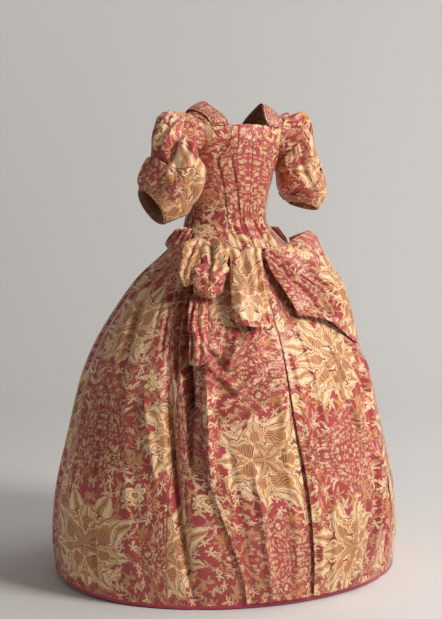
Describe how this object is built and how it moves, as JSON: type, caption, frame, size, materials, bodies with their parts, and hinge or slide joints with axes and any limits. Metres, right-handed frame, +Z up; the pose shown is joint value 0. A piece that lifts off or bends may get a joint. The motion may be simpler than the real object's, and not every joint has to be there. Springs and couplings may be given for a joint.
{
  "type": "mantua with matching petticoat",
  "caption": "Mantua with elbow sleeves, turned-back cuffs, pleated back and looped train over a matching domed petticoat, worn form, hollow, open at neck, sleeves and hem",
  "frame": {"origin": "The middle of the shoulder line, halfway between the two shoulder seams, from which the gown hangs", "axes": "+Z is up, the wearer faces -Y, the train is at +Y and +X is the wearer's left"},
  "size_m": [1.0234, 0.8852, 1.304],
  "materials": {
    "silk_brocade": "rose red silk satin ground brocaded in cream, gold and tan flowers, soft sheen",
    "brocade_reverse": "reverse of the same silk, duller and tan, with loose wefts"
  },
  "bodies": {
    "root": {"bodice_back_left": "silk_brocade", "bodice_back_right": "silk_brocade", "bodice_front_left": "silk_brocade", "bodice_front_right": "silk_brocade", "robing_left": "silk_brocade", "robing_right": "silk_brocade", "sleeve_left": "silk_brocade", "sleeve_right": "silk_brocade", "cuff_left": "silk_brocade", "cuff_right": "silk_brocade", "train_left": "silk_brocade", "train_right": "silk_brocade", "train_tail": "silk_brocade", "hip_puff_left": "silk_brocade", "hip_roll_left": "silk_brocade", "hip_drape_right": "silk_brocade", "hip_ruffle_left": "silk_brocade", "hip_ruffle_right": "silk_brocade", "petticoat_waistband": "silk_brocade", "petticoat_back": "silk_brocade", "petticoat_left": "silk_brocade", "petticoat_front": "silk_brocade", "petticoat_right": "silk_brocade", "hip_petal_left": "brocade_reverse"}
  },
  "joints": []
}
